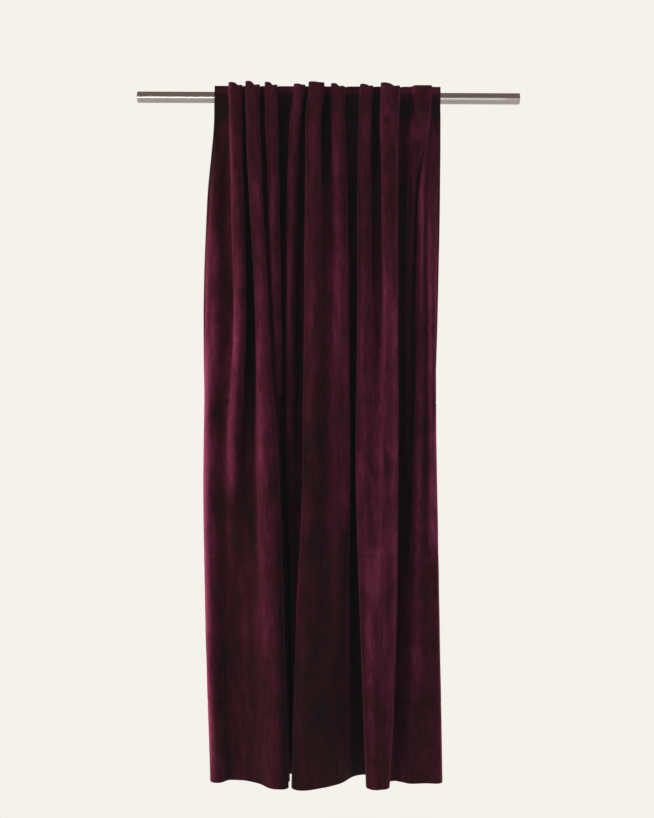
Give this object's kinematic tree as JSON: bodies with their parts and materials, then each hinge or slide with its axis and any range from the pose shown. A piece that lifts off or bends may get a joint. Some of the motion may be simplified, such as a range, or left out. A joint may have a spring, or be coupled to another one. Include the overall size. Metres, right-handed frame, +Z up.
{
  "type": "curtain on a rod",
  "caption": "Gathered velvet curtain hung by hidden straps on its back from a plain round metal rod, falling in deep uneven folds.",
  "frame": {"origin": "the middle of the rod, on its axis", "axes": "+X along the rod to the right as seen from the room, +Y from the curtain's face towards the wall, +Z up"},
  "size_m": [0.98, 0.155, 1.7775],
  "materials": {
    "velvet": "cut-pile velvet, matt with a pale sheen at grazing angles",
    "woven_tape": "plain woven tape, matt",
    "brushed_steel": "satin, brushed along its length"
  },
  "bodies": {
    "root": {"curtain_panel": "velvet", "back_tab_01": "woven_tape", "back_tab_02": "woven_tape", "back_tab_03": "woven_tape", "back_tab_04": "woven_tape", "back_tab_05": "woven_tape", "back_tab_06": "woven_tape", "back_tab_07": "woven_tape", "back_tab_08": "woven_tape", "back_tab_09": "woven_tape", "back_tab_10": "woven_tape", "rod": "brushed_steel"}
  },
  "joints": []
}
